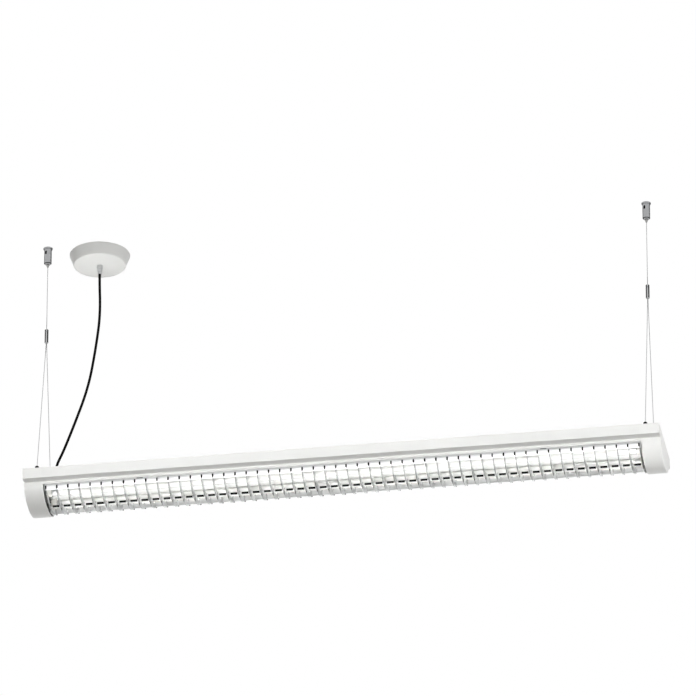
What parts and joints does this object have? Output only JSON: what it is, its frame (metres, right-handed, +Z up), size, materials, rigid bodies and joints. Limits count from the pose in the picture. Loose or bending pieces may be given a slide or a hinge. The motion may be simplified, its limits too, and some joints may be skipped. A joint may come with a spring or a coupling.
{
  "type": "suspended office light",
  "caption": "Slim suspended office light with tube lamps behind a hinged crescent-blade louvre, hung on Y-shaped steel wires, with a round ceiling canopy and a black power cord.",
  "frame": {"origin": "in the ceiling plane, midway between the screw holes of the two wire holders", "axes": "+X along the lamps, towards the end away from the canopy; +Y from front to back; +Z up"},
  "size_m": [1.25, 0.185, 0.581],
  "materials": {
    "white_painted_steel": "satin powder coat",
    "white_canopy_plastic": "smooth satin",
    "white_cap_plastic": "smooth satin",
    "white_holder_plastic": "matt",
    "pale_terminal_plastic": "matt",
    "ballast_case": "matt",
    "grey_gland_plastic": "matt",
    "satin_turned_metal": "satin nickel",
    "bright_turned_metal": "bright nickel",
    "zinc_steel": "zinc plated",
    "spring_steel": "plain spring steel",
    "steel_wire": "stranded wire",
    "black_rubber": "matt",
    "black_cord_sheath": "smooth matt",
    "bright_aluminium": "polished anodised",
    "dark_anodised_aluminium": "dark anodised",
    "lamp_base_aluminium": "satin",
    "lamp_glass": "coated white"
  },
  "bodies": {
    "ceiling": {"holder_base_left": "satin_turned_metal", "holder_base_right": "satin_turned_metal", "grip_barrel_left": "satin_turned_metal", "grip_barrel_right": "satin_turned_metal", "grip_spring_left": "spring_steel", "grip_spring_right": "spring_steel", "wire_tail_left": "steel_wire", "wire_tail_right": "steel_wire", "canopy_cup": "white_canopy_plastic", "canopy_strap": "zinc_steel", "canopy_stem": "zinc_steel", "stem_nuts": "zinc_steel", "cord_grip": "satin_turned_metal", "canopy_block": "pale_terminal_plastic", "power_cord": "black_cord_sheath"},
    "release_left": {"release_plunger_left": "bright_turned_metal", "grip_collet_left": "bright_turned_metal"},
    "release_right": {"release_plunger_right": "bright_turned_metal", "grip_collet_right": "bright_turned_metal"},
    "luminaire": {"housing": "white_painted_steel", "end_cap_left": "white_cap_plastic", "end_cap_right": "white_cap_plastic", "cap_screws": "zinc_steel", "reflector_tray": "white_painted_steel", "ballast": "ballast_case", "ballast_screws": "zinc_steel", "terminal_block": "pale_terminal_plastic", "lampholder_front_left": "white_holder_plastic", "lampholder_front_right": "white_holder_plastic", "lampholder_rear_left": "white_holder_plastic", "lampholder_rear_right": "white_holder_plastic", "catch_spring_left": "spring_steel", "catch_spring_right": "spring_steel", "wire_plugs": "black_rubber", "wire_strand_front_left": "steel_wire", "wire_strand_front_right": "steel_wire", "wire_strand_rear_left": "steel_wire", "wire_strand_rear_right": "steel_wire", "upper_wire_left": "steel_wire", "upper_wire_right": "steel_wire", "wire_splitter_left": "satin_turned_metal", "wire_splitter_right": "satin_turned_metal", "splitter_screws_left": "zinc_steel", "splitter_screws_right": "zinc_steel", "cord_gland": "grey_gland_plastic", "gland_nut": "grey_gland_plastic"},
    "louvre": {"louvre_blades": "bright_aluminium", "louvre_rail_front": "bright_aluminium", "louvre_rail_rear": "bright_aluminium", "louvre_spine": "dark_anodised_aluminium", "louvre_pivot_left": "bright_aluminium", "louvre_pivot_right": "bright_aluminium"},
    "lamp_front": {"rotors_front": "white_holder_plastic", "lamp_glass_front": "lamp_glass", "lamp_bases_front": "lamp_base_aluminium"},
    "lamp_rear": {"rotors_rear": "white_holder_plastic", "lamp_glass_rear": "lamp_glass", "lamp_bases_rear": "lamp_base_aluminium"}
  },
  "joints": [
    {"name": "release_press_left", "type": "slide", "parent": "ceiling", "child": "release_left", "axis": [0, 0, 1], "range_m": [0, 0.003], "stiffness_N_per_m": 300, "springref_m": -0.002, "deforming": ["grip_spring_left"]},
    {"name": "release_press_right", "type": "slide", "parent": "ceiling", "child": "release_right", "axis": [0, 0, 1], "range_m": [0, 0.003], "stiffness_N_per_m": 300, "springref_m": -0.002, "deforming": ["grip_spring_right"]},
    {"name": "swing", "type": "hinge", "parent": "ceiling", "child": "luminaire", "pos_m": [0, 0, -0.0425], "axis": [1, 0, 0], "range_deg": [-15, 15], "deforming": ["power_cord"]},
    {"name": "louvre_open", "type": "hinge", "parent": "luminaire", "child": "louvre", "pos_m": [0, 0.0588, -0.5535], "axis": [1, 0, 0], "range_deg": [0, 90]},
    {"name": "lamp_twist_front", "type": "hinge", "parent": "luminaire", "child": "lamp_front", "pos_m": [0, -0.027, -0.5537], "axis": [1, 0, 0], "range_deg": [0, 90]},
    {"name": "lamp_twist_rear", "type": "hinge", "parent": "luminaire", "child": "lamp_rear", "pos_m": [0, 0.027, -0.5537], "axis": [1, 0, 0], "range_deg": [0, 90]}
  ]
}
